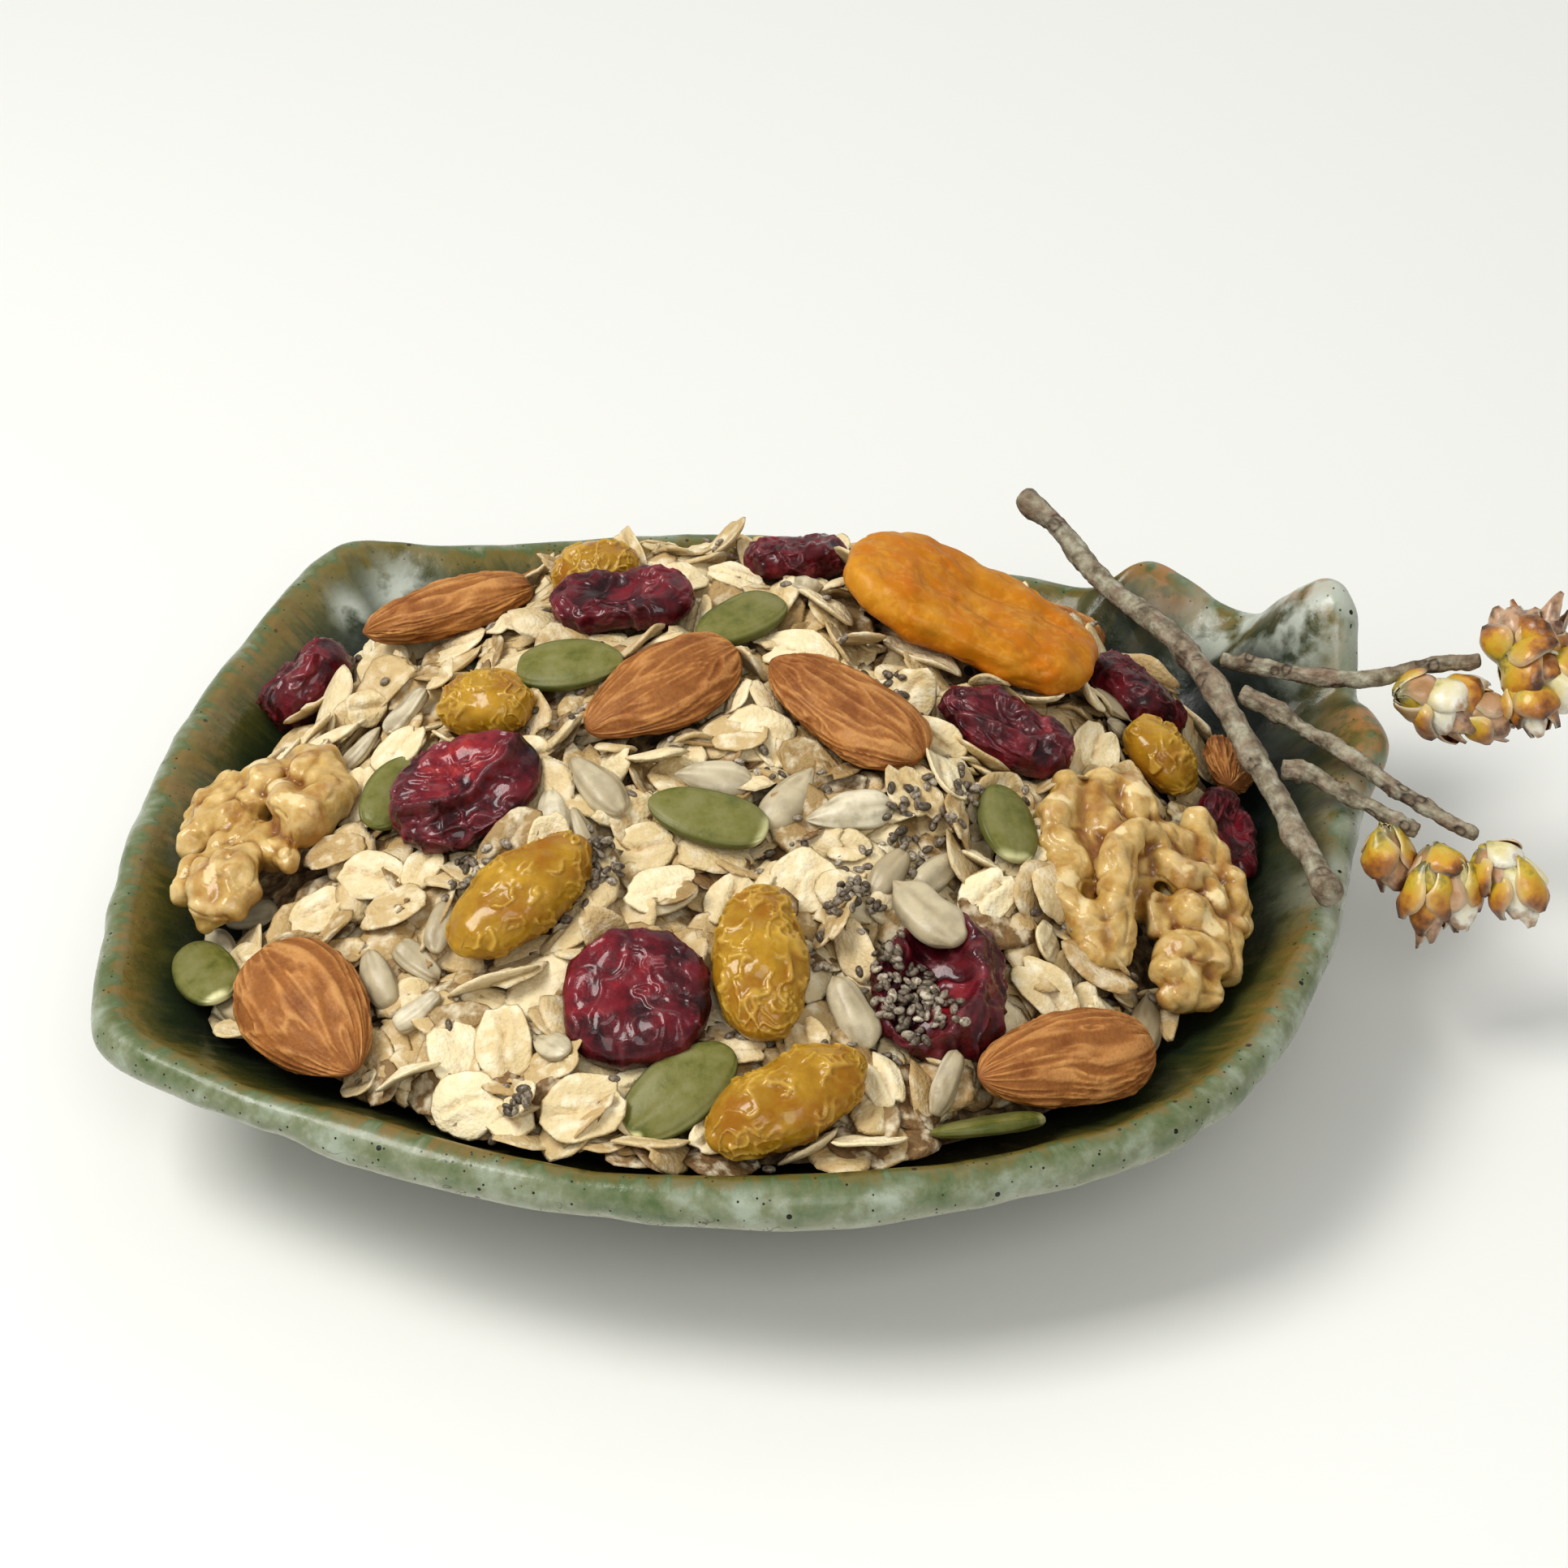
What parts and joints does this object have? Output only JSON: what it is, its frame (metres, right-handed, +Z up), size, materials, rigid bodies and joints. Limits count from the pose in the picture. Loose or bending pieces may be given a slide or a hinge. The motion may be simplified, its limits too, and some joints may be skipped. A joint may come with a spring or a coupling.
{
  "type": "bowl of trail mix",
  "caption": "Hand-made glazed stoneware dish heaped with oats, nuts, seeds and dried fruit, with a budding twig laid across its lobed end.",
  "frame": {"origin": "centre of the dish's foot, on the surface it stands on", "axes": "+Z up, +X towards the lobed end with the twig, -Y towards the side from which the heap is seen best"},
  "size_m": [0.2054, 0.1514, 0.0595],
  "materials": {
    "glaze": "gloss stoneware glaze",
    "oats": "dry, matte",
    "almond": "dry skin, matte",
    "cranberry": "wrinkled, glossy",
    "golden_raisin": "wrinkled, satin",
    "apricot": "satin",
    "pumpkin_seed": "satin",
    "walnut": "oily, satin",
    "sunflower": "satin",
    "chia": "satin",
    "bark": "rough bark",
    "bud": "papery bud scales"
  },
  "bodies": {
    "root": {"bowl": "glaze", "heap": "oats", "almond_1": "almond", "almond_2": "almond", "almond_3": "almond", "almond_4": "almond", "almond_5": "almond", "almond_6": "almond", "almond_7": "almond", "almond_8": "almond", "cranberry_1": "cranberry", "cranberry_2": "cranberry", "cranberry_3": "cranberry", "cranberry_4": "cranberry", "cranberry_5": "cranberry", "cranberry_6": "cranberry", "cranberry_7": "cranberry", "cranberry_8": "cranberry", "cranberry_9": "cranberry", "cranberry_10": "cranberry", "golden_raisin_1": "golden_raisin", "golden_raisin_2": "golden_raisin", "golden_raisin_3": "golden_raisin", "golden_raisin_4": "golden_raisin", "golden_raisin_5": "golden_raisin", "golden_raisin_6": "golden_raisin", "golden_raisin_7": "golden_raisin", "pumpkin_seed_1": "pumpkin_seed", "pumpkin_seed_2": "pumpkin_seed", "pumpkin_seed_3": "pumpkin_seed", "pumpkin_seed_4": "pumpkin_seed", "pumpkin_seed_5": "pumpkin_seed", "pumpkin_seed_6": "pumpkin_seed", "pumpkin_seed_7": "pumpkin_seed", "pumpkin_seed_8": "pumpkin_seed", "pumpkin_seed_9": "pumpkin_seed", "walnut_1": "walnut", "walnut_2": "walnut", "apricot": "apricot", "twig_stem": "bark", "twig_branch_1": "bark", "twig_branch_2": "bark", "twig_branch_3": "bark", "twig_buds_1": "bud", "twig_buds_2": "bud", "twig_buds_3": "bud", "twig_buds_4": "bud", "twig_buds_5": "bud"}
  },
  "joints": []
}
